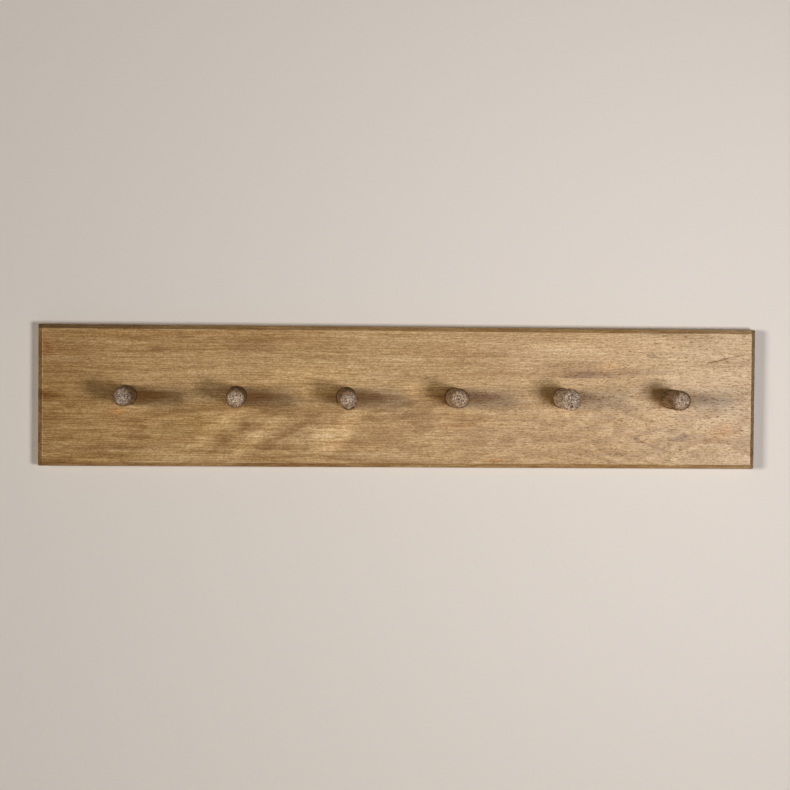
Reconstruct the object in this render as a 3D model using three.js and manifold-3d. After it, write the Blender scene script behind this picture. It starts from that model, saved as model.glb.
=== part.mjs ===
// A wall hook rack: a chamfered oak board with six round pegs along its middle.
//
// Millimetres, +Z up. The wall is the plane y = 0, the board stands in front of it towards -Y, and the pegs
// point along -Y. The origin is the centre of the board's back face.
//
// Each peg is a plain dowel glued into a blind socket and held by a countersunk screw from the back. The rack
// hangs on two wall screws, which enter the keyhole plates let into the back.
import * as THREE from "three";
import { mergeVertices } from "three/addons/utils/BufferGeometryUtils.js";
import Module from "manifold-3d";

const wasm = await Module();
wasm.setup();

// ---- Driving dimensions ------------------------------------------------------------------------------------

const BOARD_LENGTH = 740;
const BOARD_HEIGHT = 145;
const BOARD_THICKNESS = 18;
const BOARD_CHAMFER = 4.5; // at 45 degrees, round all four front edges
const BOARD_CORNER_RADIUS = 1.5; // the worn corners of the outline

const PEG_COUNT = 6;
const PEG_END_MARGIN = 90; // from each end of the board to the middle of the nearest peg
const PEG_DIAMETER = 20;
const PEG_PROJECTION = 65; // from the board's face to the middle of the tip
const PEG_TIP_ROUND = 3.5; // radius of the rounded-over rim
const PEG_TIP_CROWN = 1.2; // how far the end grain bulges inside the rim
const PEG_TAIL_BEVEL = 1;
const SOCKET_FLOOR = 6; // wood left behind each peg, for its screw to pull on
// The pegs are set by hand, so each one leans a little: degrees towards +X, and degrees downwards.
const PEG_LEANS = [
  { side: -1.1, down: -0.9 },
  { side: -1.4, down: 0.2 },
  { side: -0.6, down: 1.2 },
  { side: -1.2, down: -0.7 },
  { side: 0.6, down: -0.1 },
  { side: -0.4, down: -0.3 },
];

const PEG_SCREW = {
  headDiameter: 8,
  headRim: 0.4,
  headHeight: 2.6,
  shankDiameter: 4,
  pointLength: 4,
  length: 30,
  recessLength: 4.6,
  recessWidth: 1.1,
  recessDepth: 1.5,
};
const PEG_SCREW_SINK = 0.8; // from the board's back down to the top of the head

const PLATE_LENGTH = 60;
const PLATE_WIDTH = 20;
const PLATE_THICKNESS = 2;
const PLATE_SINK = 0.3; // below the board's back, so that the board meets the wall
const PLATE_TOP_MARGIN = 10.5; // from the board's top edge to the top of the plate
const KEYHOLE_ENTRY_DIAMETER = 10;
const KEYHOLE_SLOT_WIDTH = 5;
const KEYHOLE_TRAVEL = 12; // between the middle of the entry and the middle of the slot's round end
const POCKET_WIDTH = 13; // room behind the plate for the wall screw's head
const POCKET_DEPTH = 8;

const HANGER_SCREW = {
  headDiameter: 7,
  headRim: 0.2,
  headHeight: 1.9,
  shankDiameter: 3.5,
  pointLength: 3,
  length: 12,
  recessLength: 4,
  recessWidth: 1,
  recessDepth: 1.2,
};
const HANGER_SCREW_SPACING = 46;
const HANGER_SCREW_SINK = 0.1; // from the plate's face down to the top of the head

const FIT_GAP = 0.3; // clearance between two pieces that fit together
const CUT_OVERRUN = 3; // how far a cutter runs past the face that it opens

const ROUND_SEGMENTS = 28; // round a peg or its socket
const SCREW_SEGMENTS = 16; // round a screw or its hole
const CURVE_SEGMENTS = 8; // on each arc of an outline
const TIP_SEGMENTS = 3; // on the rounded rim of a peg

// ---- Sizes that follow from them ---------------------------------------------------------------------------

const PEG_RADIUS = PEG_DIAMETER / 2;
const PEG_PITCH = (BOARD_LENGTH - 2 * PEG_END_MARGIN) / (PEG_COUNT - 1);
const FIRST_PEG_X = -BOARD_LENGTH / 2 + PEG_END_MARGIN;
const SOCKET_DEPTH = BOARD_THICKNESS - SOCKET_FLOOR;
const HANGER_X = -FIRST_PEG_X - PEG_PITCH / 2; // half-way between the two end pegs
const HANGER_Z = BOARD_HEIGHT / 2 - PLATE_TOP_MARGIN - PLATE_LENGTH / 2;

// ---- Materials ---------------------------------------------------------------------------------------------

const oak = { color: 0xa98a5e, roughness: 0.6, metalness: 0 };
const weatheredOak = { color: 0x7d6a5a, roughness: 0.8, metalness: 0 };
const zinc = { color: 0xb8bcc0, roughness: 0.35, metalness: 1 };

// ---- Helpers -----------------------------------------------------------------------------------------------

// A closed geometry as a solid that can be joined and cut.
function solidFrom(geometry) {
  const bare = new THREE.BufferGeometry();
  bare.setAttribute("position", geometry.getAttribute("position").clone());
  if (geometry.index) bare.setIndex(geometry.index.clone());
  const merged = mergeVertices(bare, 1e-4);
  return new wasm.Manifold(
    new wasm.Mesh({
      numProp: 3,
      vertProperties: new Float32Array(merged.getAttribute("position").array),
      triVerts: new Uint32Array(merged.index.array),
    }),
  );
}

// A solid as a geometry for a mesh.
function geometryFrom(solid) {
  const data = solid.getMesh();
  const geometry = new THREE.BufferGeometry();
  geometry.setAttribute("position", new THREE.BufferAttribute(new Float32Array(data.vertProperties), 3));
  geometry.setIndex(new THREE.BufferAttribute(new Uint32Array(data.triVerts), 1));
  const faceted = geometry.toNonIndexed();
  faceted.computeVertexNormals();
  return faceted;
}

function namedMesh(name, geometry, finish) {
  const mesh = new THREE.Mesh(geometry, new THREE.MeshStandardMaterial(finish));
  mesh.name = name;
  return mesh;
}

// A solid of revolution about Y, from [radius, y] pairs that start and end on the axis with y rising.
function turned(profile, segments) {
  return new THREE.LatheGeometry(
    profile.map(([radius, y]) => new THREE.Vector2(radius, y)),
    segments,
  );
}

// A slab with the outline of a shape drawn in X and Z, from depth `near` to depth `far` in front of the wall.
function slab(shape, near, far) {
  const options = { depth: far - near, bevelEnabled: false, curveSegments: CURVE_SEGMENTS };
  const geometry = new THREE.ExtrudeGeometry(shape, options);
  geometry.rotateX(Math.PI / 2);
  geometry.translate(0, -near, 0);
  return geometry;
}

function roundedRectangle(length, height, radius) {
  const x = length / 2 - radius;
  const z = height / 2 - radius;
  const shape = new THREE.Shape();
  shape.moveTo(-x, -z - radius);
  shape.lineTo(x, -z - radius);
  shape.absarc(x, -z, radius, -Math.PI / 2, 0);
  shape.lineTo(x + radius, z);
  shape.absarc(x, z, radius, 0, Math.PI / 2);
  shape.lineTo(-x, z + radius);
  shape.absarc(-x, z, radius, Math.PI / 2, Math.PI);
  shape.lineTo(-x - radius, -z);
  shape.absarc(-x, -z, radius, Math.PI, 1.5 * Math.PI);
  return shape;
}

// An upright slot with round ends, whose end arcs are centred at z = -reach and z = +reach.
function uprightSlot(width, reach) {
  const radius = width / 2;
  const shape = new THREE.Shape();
  shape.moveTo(radius, -reach);
  shape.lineTo(radius, reach);
  shape.absarc(0, reach, radius, 0, Math.PI);
  shape.lineTo(-radius, -reach);
  shape.absarc(0, -reach, radius, Math.PI, 2 * Math.PI);
  return shape;
}

// ---- Screws ------------------------------------------------------------------------------------------------

// A countersunk wood screw stands with its head's top at y = 0 and its point along +Y.
function screwProfile(screw, gap) {
  const head = screw.headDiameter / 2 + gap;
  const shank = screw.shankDiameter / 2 + gap;
  return [
    [head, screw.headRim],
    [shank, screw.headHeight],
    [shank, screw.length - screw.pointLength],
    [0, screw.length + gap],
  ];
}

function screwGeometry(screw) {
  const head = screw.headDiameter / 2;
  const profile = [[0, 0], [head, 0], ...screwProfile(screw, 0)];
  const arm = new THREE.BoxGeometry(screw.recessLength, 2 * screw.recessDepth, screw.recessWidth);
  const body = solidFrom(turned(profile, SCREW_SEGMENTS));
  const cross = solidFrom(arm).add(solidFrom(arm.clone().rotateY(Math.PI / 2)));
  return geometryFrom(body.subtract(cross));
}

// The hole that a screw sits in, open at the head.
function screwHole(screw) {
  const head = screw.headDiameter / 2 + FIT_GAP;
  return turned([[0, -CUT_OVERRUN], [head, -CUT_OVERRUN], ...screwProfile(screw, FIT_GAP)], SCREW_SEGMENTS);
}

// ---- Pegs --------------------------------------------------------------------------------------------------

// A peg's own frame: y = 0 in the plane of the board's face, and +Y out of the board along the peg.
function pegFrame(index) {
  const lean = PEG_LEANS[index % PEG_LEANS.length];
  const down = THREE.MathUtils.degToRad(lean.down);
  const side = THREE.MathUtils.degToRad(lean.side);
  const group = new THREE.Group();
  group.position.set(FIRST_PEG_X + index * PEG_PITCH, -BOARD_THICKNESS, 0);
  group.rotation.set(Math.PI + down, 0, side, "ZXY");
  group.updateMatrixWorld(true);
  return group;
}

function pegBlank() {
  const tail = FIT_GAP - SOCKET_DEPTH;
  const rimTop = PEG_PROJECTION - PEG_TIP_CROWN;
  const rimRadius = PEG_RADIUS - PEG_TIP_ROUND;
  const profile = [
    [0, tail],
    [PEG_RADIUS - PEG_TAIL_BEVEL, tail],
    [PEG_RADIUS, tail + PEG_TAIL_BEVEL],
  ];
  for (let step = 0; step <= TIP_SEGMENTS; step++) {
    const angle = (step / TIP_SEGMENTS) * (Math.PI / 2);
    const out = rimTop - PEG_TIP_ROUND + PEG_TIP_ROUND * Math.sin(angle);
    profile.push([rimRadius + PEG_TIP_ROUND * Math.cos(angle), out]);
  }
  profile.push([rimRadius / 2, PEG_PROJECTION - PEG_TIP_CROWN / 4]);
  profile.push([0, PEG_PROJECTION]);
  return turned(profile, ROUND_SEGMENTS);
}

const PEG_SCREW_TOP = PEG_SCREW_SINK - BOARD_THICKNESS;

const pegScrewHole = () => screwHole(PEG_SCREW).translate(0, PEG_SCREW_TOP, 0);

const pegGeometry = geometryFrom(solidFrom(pegBlank()).subtract(solidFrom(pegScrewHole())));
const pegScrewGeometry = screwGeometry(PEG_SCREW);

const pegFrames = Array.from({ length: PEG_COUNT }, (_, index) => pegFrame(index));

pegFrames.forEach((frame, index) => {
  const screw = namedMesh(`peg_screw_${index + 1}`, pegScrewGeometry, zinc);
  screw.position.y = PEG_SCREW_TOP;
  frame.add(namedMesh(`peg_${index + 1}`, pegGeometry, weatheredOak), screw);
});

// ---- Keyhole hangers ---------------------------------------------------------------------------------------

// A hanger's own frame is the board's, moved along so that the plate is centred on x = 0 and z = 0.
function hangerFrame(x) {
  const group = new THREE.Group();
  group.position.set(x, 0, HANGER_Z);
  group.updateMatrixWorld(true);
  return group;
}

// The entry's circle at the bottom, and the narrower slot that rises from it.
function keyhole() {
  const entry = KEYHOLE_ENTRY_DIAMETER / 2;
  const half = KEYHOLE_SLOT_WIDTH / 2;
  const low = -KEYHOLE_TRAVEL / 2;
  const high = KEYHOLE_TRAVEL / 2;
  const start = Math.acos(half / entry);
  const path = new THREE.Path();
  path.moveTo(half, low + entry * Math.sin(start));
  path.lineTo(half, high);
  path.absarc(0, high, half, 0, Math.PI);
  path.lineTo(-half, low + entry * Math.sin(start));
  path.absarc(0, low, entry, Math.PI - start, 2 * Math.PI + start);
  return path;
}

// A hanger screw's frame within its hanger: +Y into the board.
function hangerScrewFrame(z) {
  const group = new THREE.Group();
  group.position.set(0, -PLATE_SINK - HANGER_SCREW_SINK, z);
  group.rotation.x = Math.PI;
  group.updateMatrixWorld(true);
  return group;
}

const HANGER_SCREW_PLACES = [
  { name: "upper", z: HANGER_SCREW_SPACING / 2 },
  { name: "lower", z: -HANGER_SCREW_SPACING / 2 },
];

const hangerScrewHoles = () =>
  HANGER_SCREW_PLACES.map(({ z }) => screwHole(HANGER_SCREW).applyMatrix4(hangerScrewFrame(z).matrixWorld));

function plateGeometry() {
  const outline = uprightSlot(PLATE_WIDTH, (PLATE_LENGTH - PLATE_WIDTH) / 2);
  outline.holes.push(keyhole());
  const blank = solidFrom(slab(outline, PLATE_SINK, PLATE_SINK + PLATE_THICKNESS));
  return geometryFrom(hangerScrewHoles().reduce((plate, hole) => plate.subtract(solidFrom(hole)), blank));
}

const plate = plateGeometry();
const hangerScrewGeometry = screwGeometry(HANGER_SCREW);

const hangers = [
  { side: "left", frame: hangerFrame(-HANGER_X) },
  { side: "right", frame: hangerFrame(HANGER_X) },
];

hangers.forEach(({ side, frame }) => {
  frame.add(namedMesh(`${side}_hanger_plate`, plate, zinc));
  HANGER_SCREW_PLACES.forEach(({ name, z }) => {
    const screwFrame = hangerScrewFrame(z);
    screwFrame.add(namedMesh(`${side}_hanger_${name}_screw`, hangerScrewGeometry, zinc));
    frame.add(screwFrame);
  });
});

// ---- Board -------------------------------------------------------------------------------------------------

// The blank is extruded with a bevel at both ends, which mitres the chamfers at the corners. Keeping only what
// lies inside the rounded outline, in front of the wall plane, takes away its back half and its sharp corners.
function boardBlank() {
  const length = BOARD_LENGTH - 2 * BOARD_CHAMFER;
  const height = BOARD_HEIGHT - 2 * BOARD_CHAMFER;
  const straight = BOARD_THICKNESS - BOARD_CHAMFER;
  const face = new THREE.Shape([
    new THREE.Vector2(-length / 2, -height / 2),
    new THREE.Vector2(length / 2, -height / 2),
    new THREE.Vector2(length / 2, height / 2),
    new THREE.Vector2(-length / 2, height / 2),
  ]);
  const bevelled = new THREE.ExtrudeGeometry(face, {
    depth: 2 * straight,
    bevelSegments: 1,
    bevelThickness: BOARD_CHAMFER,
    bevelSize: BOARD_CHAMFER,
  });
  bevelled.translate(0, 0, -straight);
  bevelled.rotateX(Math.PI / 2);
  const outline = slab(
    roundedRectangle(BOARD_LENGTH, BOARD_HEIGHT, BOARD_CORNER_RADIUS),
    0,
    BOARD_THICKNESS + CUT_OVERRUN,
  );
  return solidFrom(bevelled).intersect(solidFrom(outline));
}

function socketCutter() {
  const profile = [
    [0, -SOCKET_DEPTH],
    [PEG_RADIUS + FIT_GAP, -SOCKET_DEPTH],
    [PEG_RADIUS + FIT_GAP, CUT_OVERRUN],
    [0, CUT_OVERRUN],
  ];
  return turned(profile, ROUND_SEGMENTS);
}

// The recess that takes the plate, and behind it the pocket that takes the wall screw's head.
function hangerCutters() {
  const plateDepth = PLATE_SINK + PLATE_THICKNESS + FIT_GAP;
  const recess = uprightSlot(PLATE_WIDTH + 2 * FIT_GAP, (PLATE_LENGTH - PLATE_WIDTH) / 2);
  const pocket = uprightSlot(POCKET_WIDTH, KEYHOLE_TRAVEL / 2);
  return [
    slab(recess, -CUT_OVERRUN, plateDepth),
    slab(pocket, -CUT_OVERRUN, PLATE_SINK + PLATE_THICKNESS + POCKET_DEPTH),
    ...hangerScrewHoles(),
  ];
}

function boardGeometry() {
  const cutters = [];
  pegFrames.forEach((frame) => {
    cutters.push(socketCutter().applyMatrix4(frame.matrixWorld));
    cutters.push(pegScrewHole().applyMatrix4(frame.matrixWorld));
  });
  hangers.forEach(({ frame }) => {
    hangerCutters().forEach((cutter) => cutters.push(cutter.applyMatrix4(frame.matrixWorld)));
  });
  return geometryFrom(cutters.reduce((board, cutter) => board.subtract(solidFrom(cutter)), boardBlank()));
}

// ---- The rack ----------------------------------------------------------------------------------------------

const rack = new THREE.Group();
rack.add(namedMesh("back_board", boardGeometry(), oak));
rack.add(...pegFrames);
rack.add(...hangers.map(({ frame }) => frame));

export default rack;
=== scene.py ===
# %% [markdown]
# # A wall hook rack in oak
#
# The rack is one wide oak board with a chamfer round its face and six short pegs along its middle. Behind
# it, out of sight, are the screws that hold the pegs and two keyhole plates that hang it on the wall.
#
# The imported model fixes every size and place. This lesson makes the finished surfaces around it: each
# piece is modelled again by hand at exactly that place, with the softness and small faults that real wood
# has.

# %% Load the frame
import math
import random

import bpy
from mathutils import Matrix, Vector


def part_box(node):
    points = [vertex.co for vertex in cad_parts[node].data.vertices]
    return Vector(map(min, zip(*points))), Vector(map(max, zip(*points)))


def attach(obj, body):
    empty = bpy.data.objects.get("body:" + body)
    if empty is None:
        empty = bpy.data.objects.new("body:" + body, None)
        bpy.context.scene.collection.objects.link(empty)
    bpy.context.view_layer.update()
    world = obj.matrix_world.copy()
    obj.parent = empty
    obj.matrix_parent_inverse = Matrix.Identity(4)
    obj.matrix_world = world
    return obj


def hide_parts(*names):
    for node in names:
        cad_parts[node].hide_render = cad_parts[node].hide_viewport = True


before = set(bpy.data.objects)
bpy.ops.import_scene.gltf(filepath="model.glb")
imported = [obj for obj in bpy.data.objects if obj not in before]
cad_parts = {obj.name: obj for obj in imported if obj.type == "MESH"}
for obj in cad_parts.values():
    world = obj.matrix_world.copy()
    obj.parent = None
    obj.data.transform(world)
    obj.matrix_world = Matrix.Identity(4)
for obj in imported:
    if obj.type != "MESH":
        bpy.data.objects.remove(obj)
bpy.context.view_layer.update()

MM = 0.001
print("nodes in the frame:", len(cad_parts))

# %% [markdown]
# ## Where things are
#
# Every place comes from the frame. The board's box gives its length, height and thickness. Its back lies
# on the plane y = 0, against the wall, and its face looks towards -Y.

# %% Measure the board
BOARD_LOW, BOARD_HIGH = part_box("back_board")
BOARD_SIZE = BOARD_HIGH - BOARD_LOW
BOARD_MIDDLE = (BOARD_HIGH + BOARD_LOW) / 2
HALF_LENGTH = BOARD_SIZE.x / 2
HALF_HEIGHT = BOARD_SIZE.z / 2
FACE_Y = BOARD_LOW.y
CHAMFER = 4.5 * MM
print("board, mm:", [round(side / MM, 1) for side in BOARD_SIZE])

# %% [markdown]
# ## The camera
#
# The camera stands about two and a half paces back, a little left of the middle and a little above the
# pegs, so that the pegs on the right show more of their sides. A long lens keeps the board's edges nearly
# parallel. The view is set first, because every later choice is judged through it.

# %% Set the camera
camera = bpy.data.objects.new("camera", bpy.data.cameras.new("camera"))
bpy.context.scene.collection.objects.link(camera)
camera.data.sensor_width = 36
camera.data.lens = 100
camera.location = (-0.167, -2.267, 0.072)
LOOK_RIGHT, LOOK_DOWN, TILT = 4.08, 1.77, 0.53
camera.rotation_euler = (
    math.radians(90 - LOOK_DOWN),
    math.radians(-TILT),
    math.radians(-LOOK_RIGHT),
)
bpy.context.scene.camera = camera
bpy.context.scene.view_settings.view_transform = "Standard"
bpy.context.scene.view_settings.gamma = 0.8
print("camera at", tuple(camera.location))

# %% [markdown]
# ## Making materials in code
#
# A material is a tree of small nodes: one makes a pattern, the next bends it or turns it into a colour,
# and the last is the surface itself. These helpers keep that readable. `Recipe` starts a material, and
# most of its methods add a node and hand back the socket that the next one reads.

# %% A small workshop for materials
class Recipe:
    """One material, built up node by node."""

    def __init__(self, name):
        self.material = bpy.data.materials.new(name)
        self.material.use_nodes = True
        self.tree = self.material.node_tree
        self.tree.nodes.clear()
        self.surface = self.node("ShaderNodeBsdfPrincipled")
        output = self.node("ShaderNodeOutputMaterial")
        self.tree.links.new(self.surface.outputs["BSDF"], output.inputs["Surface"])

    def node(self, kind, **settings):
        made = self.tree.nodes.new(kind)
        for key, value in settings.items():
            setattr(made, key, value)
        return made

    def feed(self, socket, value):
        """Links a socket to another, or sets it to a plain value."""
        if isinstance(value, bpy.types.NodeSocket):
            self.tree.links.new(value, socket)
        else:
            socket.default_value = value

    def place(self, shift=(0, 0, 0), stretch=(1, 1, 1)):
        """The piece's own coordinates in metres, moved by shift and then stretched."""
        source = self.node("ShaderNodeTexCoord").outputs["Object"]
        moved = self.vector("ADD", source, shift)
        return self.vector("MULTIPLY", moved, stretch)

    def vector(self, operation, first, second=None):
        made = self.node("ShaderNodeVectorMath", operation=operation)
        self.feed(made.inputs[0], first)
        if second is not None:
            self.feed(made.inputs[1], second)
        return made.outputs["Value"] if operation == "LENGTH" else made.outputs[0]

    def sum(self, operation, first, second=0.0, third=0.0):
        made = self.node("ShaderNodeMath", operation=operation)
        for socket, value in zip(made.inputs, (first, second, third)):
            self.feed(socket, value)
        return made.outputs[0]

    def split(self, vector):
        made = self.node("ShaderNodeSeparateXYZ")
        self.feed(made.inputs[0], vector)
        return made.outputs["X"], made.outputs["Y"], made.outputs["Z"]

    def join(self, x, y, z):
        made = self.node("ShaderNodeCombineXYZ")
        for socket, value in zip(made.inputs, (x, y, z)):
            self.feed(socket, value)
        return made.outputs[0]

    def noise(self, vector, scale=1.0, detail=2.0, roughness=0.5):
        made = self.node("ShaderNodeTexNoise")
        self.feed(made.inputs["Vector"], vector)
        for key, value in (("Scale", scale), ("Detail", detail), ("Roughness", roughness)):
            made.inputs[key].default_value = value
        return made.outputs["Fac"]

    def cells(self, vector, scale=1.0):
        """How far each point is from the nearest of many scattered dots."""
        made = self.node("ShaderNodeTexVoronoi")
        self.feed(made.inputs["Vector"], vector)
        made.inputs["Scale"].default_value = scale
        return made.outputs["Distance"]

    def between(self, value, low, high):
        """0 where value is at or below low, 1 at or above high. Low may be the larger, to turn it round."""
        made = self.node("ShaderNodeMapRange", interpolation_type="SMOOTHSTEP")
        for socket, number in zip(made.inputs, (value, low, high, 0.0, 1.0)):
            self.feed(socket, number)
        return made.outputs["Result"]

    def mix(self, amount, first, second, blend="MIX"):
        """Two colours blended by amount."""
        made = self.node("ShaderNodeMix", data_type="RGBA", blend_type=blend)
        factor, low, high = made.inputs[0], made.inputs[6], made.inputs[7]
        self.feed(factor, amount)
        for socket, value in ((low, first), (high, second)):
            self.feed(socket, value if isinstance(value, bpy.types.NodeSocket) else (*value[:3], 1.0))
        return made.outputs[2]

    def finish(self, color, roughness, height, depth, metallic=0.0):
        """Feeds the surface. Height is turned into a bump that is depth metres high."""
        self.feed(self.surface.inputs["Base Color"], color)
        self.feed(self.surface.inputs["Roughness"], roughness)
        self.surface.inputs["Metallic"].default_value = metallic
        bump = self.node("ShaderNodeBump")
        bump.inputs["Strength"].default_value = 1.0
        bump.inputs["Distance"].default_value = depth
        self.feed(bump.inputs["Height"], height)
        self.feed(self.surface.inputs["Normal"], bump.outputs["Normal"])
        return self.material

# %% [markdown]
# ## The wall, the floor and the lights
#
# The rack hangs on a plain painted wall and is lit by two soft lamps. A small one stands close by on the
# right, a little low, and throws a short shadow to the left of each peg. A bigger, slightly warmer one
# stands far off on the left and throws the longer shadows to the right. The wall lets light and sight
# through from behind, so that a third lamp there can light the back of the rack.

# %% Hang the wall and lay the floor
WALL_GAP = 1 * MM
FLOOR_DROP = 1.6
ROOM = 6.0
WALL_COLOR = (0.695, 0.645, 0.600)
FLOOR_COLOR = (0.62, 0.58, 0.53)


def add_backdrop(name, location, rotation):
    bpy.ops.mesh.primitive_plane_add(size=ROOM, location=location, rotation=rotation)
    made = bpy.context.object
    made.name = name
    bpy.ops.object.transform_apply(location=True, rotation=True, scale=True)
    return made


def paint(name, color):
    recipe = Recipe(name)
    speckle = recipe.noise(recipe.place(), scale=700)
    shade = recipe.mix(recipe.between(speckle, 0.3, 0.7), [c * 0.985 for c in color], color)
    recipe.finish(shade, 0.85, speckle, 0.03 * MM)
    return recipe


def see_through_from_behind(recipe):
    """Swaps the surface for a clear one on its back, and for every shadow ray."""
    output = next(n for n in recipe.tree.nodes if n.type == "OUTPUT_MATERIAL")
    back = recipe.node("ShaderNodeNewGeometry").outputs["Backfacing"]
    shadow = recipe.node("ShaderNodeLightPath").outputs["Is Shadow Ray"]
    clear = recipe.node("ShaderNodeBsdfTransparent").outputs[0]
    choice = recipe.node("ShaderNodeMixShader")
    recipe.feed(choice.inputs[0], recipe.sum("MAXIMUM", back, shadow))
    recipe.feed(choice.inputs[1], recipe.surface.outputs["BSDF"])
    recipe.feed(choice.inputs[2], clear)
    recipe.feed(output.inputs["Surface"], choice.outputs[0])


bpy.ops.object.select_all(action="DESELECT")
wall = add_backdrop("wall", (0, WALL_GAP, 0), (math.radians(90), 0, 0))
wall_paint = paint("wall_paint", WALL_COLOR)
see_through_from_behind(wall_paint)
wall.data.materials.append(wall_paint.material)

floor = add_backdrop("floor", (0, 0, -FLOOR_DROP), (0, 0, 0))
floor.data.materials.append(paint("floor_paint", FLOOR_COLOR).material)
print("stage pieces:", wall.name, floor.name)

# %% Set the lights


def add_lamp(name, place, aim, width, height, power, color=(1, 1, 1), spread=180):
    """A rectangular lamp that shines from place towards aim."""
    lamp = bpy.data.objects.new(name, bpy.data.lights.new(name, "AREA"))
    bpy.context.scene.collection.objects.link(lamp)
    lamp.data.shape = "RECTANGLE"
    lamp.data.size = width
    lamp.data.size_y = height
    lamp.data.energy = power
    lamp.data.color = color
    lamp.data.spread = math.radians(spread)
    lamp.location = place
    lamp.rotation_euler = (Vector(aim) - Vector(place)).to_track_quat("-Z", "Y").to_euler()


NEAR_LIGHT = (0.985, 0.985, 1)
FAR_LIGHT = (1, 0.995, 0.955)
add_lamp("right_lamp", (0.72, -1.75, -0.19), (0.25, 0, 0.12), 0.45, 0.45, 11.9, NEAR_LIGHT, spread=130)
add_lamp("left_lamp", (-6.0, -6.0, 0.255), (0, 0, 0), 1.8, 1.8, 393, FAR_LIGHT)
add_lamp("back_lamp", (-0.8, 2.2, 0.9), (0, 0, 0), 1.6, 1.2, 30)

world = bpy.data.worlds.new("world")
bpy.context.scene.world = world
world.use_nodes = True
background = world.node_tree.nodes["Background"]
background.inputs["Color"].default_value = (1, 0.97, 0.94, 1)
background.inputs["Strength"].default_value = 0.03

# %% [markdown]
# ## Working by hand, in code
#
# Modelling here follows the same moves as at the screen: add a simple shape, go into edit mode, pick some
# faces or edges, and push them about. With no mouse, the picking is done by a test, such as "every edge
# that lies on the front face".

# %% Tools for the bench


def clear_selection():
    if bpy.context.mode != "OBJECT":
        bpy.ops.object.mode_set(mode="OBJECT")
    bpy.ops.object.select_all(action="DESELECT")


def hold(piece):
    """Makes a piece the only one selected, and the active one."""
    clear_selection()
    piece.select_set(True)
    bpy.context.view_layer.objects.active = piece


def named(name):
    """Names the shape that was just added, and fixes its place into its mesh."""
    made = bpy.context.object
    made.name = name
    made.data.name = name
    bpy.ops.object.transform_apply(location=True, rotation=True, scale=True)
    return made


def pick(piece, kind, test):
    """In edit mode, selects just the vertices, edges or faces whose every corner passes the test."""
    hold(piece)
    bpy.ops.object.mode_set(mode="EDIT")
    bpy.ops.mesh.select_mode(type=kind)
    bpy.ops.mesh.select_all(action="DESELECT")
    bpy.ops.object.mode_set(mode="OBJECT")
    mesh = piece.data
    passed = [test(vertex.co) for vertex in mesh.vertices]
    if kind == "VERT":
        for vertex in mesh.vertices:
            vertex.select = passed[vertex.index]
    else:
        for item in mesh.edges if kind == "EDGE" else mesh.polygons:
            item.select = all(passed[corner] for corner in item.vertices)
    bpy.ops.object.mode_set(mode="EDIT")


def apply_modifier(piece, kind, **settings):
    hold(piece)
    bpy.ops.object.modifier_add(type=kind)
    made = piece.modifiers[-1]
    for key, value in settings.items():
        setattr(made, key, value)
    bpy.ops.object.modifier_apply(modifier=made.name)


def ease_arrises(piece, width, segments, degrees):
    """Rubs over every edge that turns by more than the given angle."""
    limit = math.radians(degrees)
    apply_modifier(piece, "BEVEL", width=width, segments=segments, limit_method="ANGLE", angle_limit=limit)


def cut_away(piece, cutter):
    apply_modifier(piece, "BOOLEAN", operation="DIFFERENCE", solver="EXACT", object=cutter)
    bpy.data.objects.remove(cutter)


def drop_in_place(piece, turn, place):
    """Turns a piece about the origin, moves it to its place, and fixes both into its mesh."""
    hold(piece)
    piece.rotation_euler = turn.to_euler()
    piece.location = place
    bpy.ops.object.transform_apply(location=True, rotation=True, scale=True)


def put_in_frame(piece, slot, *nodes):
    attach(piece, "root")
    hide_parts(*nodes)


def smooth(piece, degrees=35):
    hold(piece)
    bpy.ops.object.shade_smooth_by_angle(angle=math.radians(degrees))


def smooth_with_flats(piece):
    """Smooths the curves and keeps the big faces looking flat."""
    smooth(piece)
    apply_modifier(piece, "WEIGHTED_NORMAL", keep_sharp=True)


def faces_out(piece):
    hold(piece)
    bpy.ops.object.mode_set(mode="EDIT")
    bpy.ops.mesh.select_all(action="SELECT")
    bpy.ops.mesh.remove_doubles(threshold=0.00001)
    bpy.ops.mesh.normals_make_consistent(inside=False)
    bpy.ops.object.mode_set(mode="OBJECT")

# %% [markdown]
# ## The board
#
# The real board is planed flat, cut to length, and routed with a 45 degree bit round its face. That is
# also how it is made here. The chamfers are cut first, so that they meet in a mitre at the corners. Then
# the outline's corners are eased, and last every arris is rubbed over, as sandpaper leaves it.

# %% Plane the board and route its chamfers
CORNER_RADIUS = 1.5 * MM
ARRIS = 0.5 * MM
NEAR = 0.01 * MM

clear_selection()
bpy.ops.mesh.primitive_cube_add(size=1, location=BOARD_MIDDLE)
bpy.ops.transform.resize(value=BOARD_SIZE)
board = named("board")

pick(board, "EDGE", lambda p: abs(p.y - FACE_Y) < NEAR)
bpy.ops.mesh.bevel(offset=CHAMFER, offset_type="OFFSET", segments=1, affect="EDGES")


def at_outline_corner(p):
    return HALF_LENGTH - abs(p.x) < NEAR and HALF_HEIGHT - abs(p.z) < NEAR


pick(board, "EDGE", at_outline_corner)
bpy.ops.mesh.bevel(offset=CORNER_RADIUS, offset_type="OFFSET", segments=4, affect="EDGES")
ease_arrises(board, ARRIS, 3, 30)
print("board faces:", len(board.data.polygons))

# %% [markdown]
# ## Where each peg points
#
# Each peg is set in its socket by hand, so each leans its own way. The lean is measured from the frame: a
# peg's axis runs through the middle of its tail and the middle of its tip. The peg's socket and its screw
# lie on the same axis.

# %% Find each peg's axis
PEG_NAMES = sorted(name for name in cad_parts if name.startswith("peg_") and "screw" not in name)
PEG_LENGTH_IN_SIGHT = 65 * MM
SOCKET_DEPTH = 12 * MM
PEG_SCREW_SINK = 0.8 * MM
GAP = 0.3 * MM


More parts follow.
